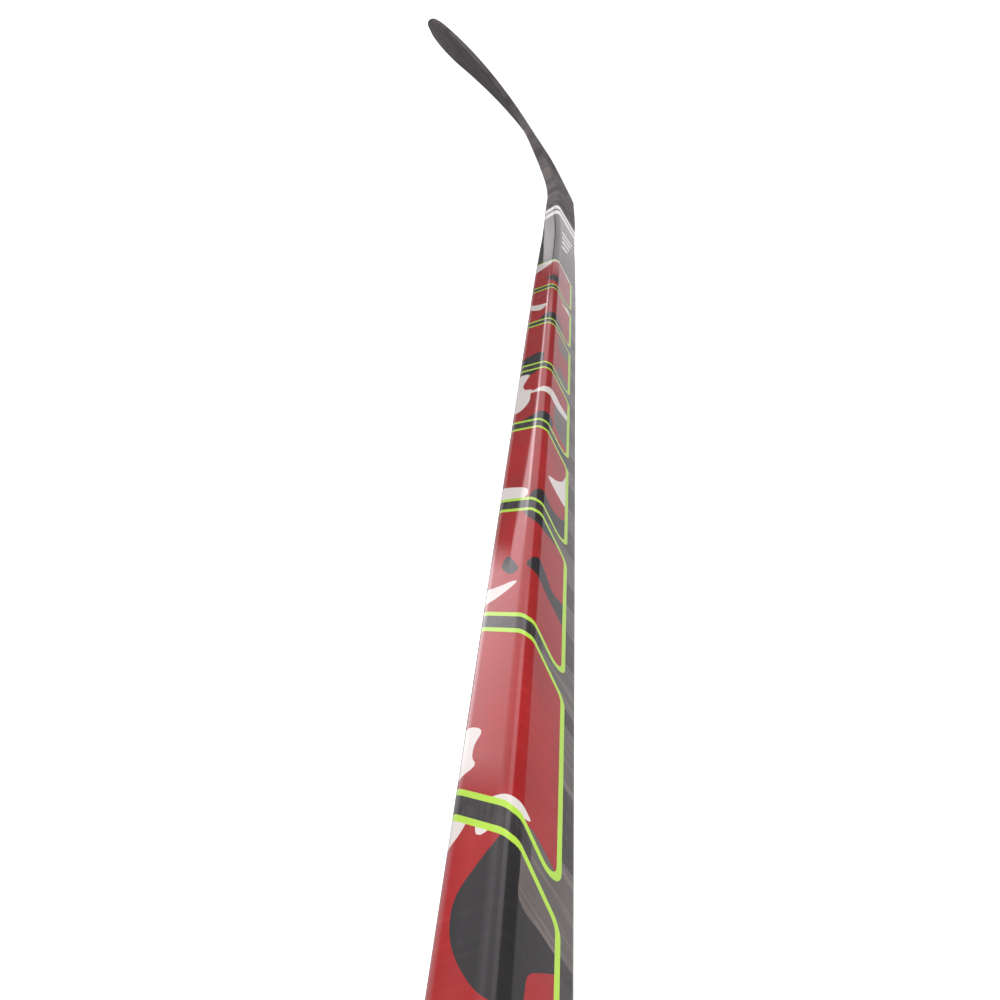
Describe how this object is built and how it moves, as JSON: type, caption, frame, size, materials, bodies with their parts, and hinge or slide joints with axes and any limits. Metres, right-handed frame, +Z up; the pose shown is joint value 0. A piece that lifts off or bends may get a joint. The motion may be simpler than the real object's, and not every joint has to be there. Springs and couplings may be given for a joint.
{
  "type": "ice hockey stick",
  "caption": "Right-handed one-piece composite ice hockey stick: hollow rectangular shaft tapering into a thin, curved, open-faced blade, with a plugged butt end.",
  "frame": {"origin": "centre of the flat length of the blade's bottom edge, where the stick rests on the ice in playing position", "axes": "+Z up from the ice, +X along the blade from heel to toe, +Y towards the forehand side; the shaft rises towards -X and +Z at a 45 degree lie, with its mid-plane on Y = 0"},
  "size_m": [1.3718, 0.0646, 1.1002],
  "materials": {
    "shaft_carbon": "clear-coated carbon laminate with printed red, white, grey and lime shapes",
    "hosel_carbon": "clear-coated grey laminate",
    "inner_carbon": "unpainted carbon laminate",
    "bond_film": "cured epoxy film",
    "blade_wrap": "satin carbon laminate",
    "blade_laminate": "satin spread-tow carbon laminate",
    "blade_foam": "closed-cell structural foam",
    "plug_plastic": "moulded black plastic",
    "hot_melt": "hot-melt adhesive"
  },
  "bodies": {
    "root": {"shaft_tube": "shaft_carbon", "hosel_sleeve": "hosel_carbon", "hosel_tenon": "inner_carbon", "tenon_bond_film": "bond_film", "tenon_foam_plug": "blade_foam", "blade_edge_wrap": "blade_wrap", "blade_forehand_skin": "blade_laminate", "blade_backhand_skin": "blade_laminate", "heel_foam_core": "blade_foam", "toe_foam_core": "blade_foam", "lower_foam_core": "blade_foam", "middle_foam_core": "blade_foam", "upper_foam_core": "blade_foam", "lower_stringer": "inner_carbon", "upper_stringer": "inner_carbon", "butt_plug": "plug_plastic", "butt_plug_glue_bands": "hot_melt"}
  },
  "joints": []
}
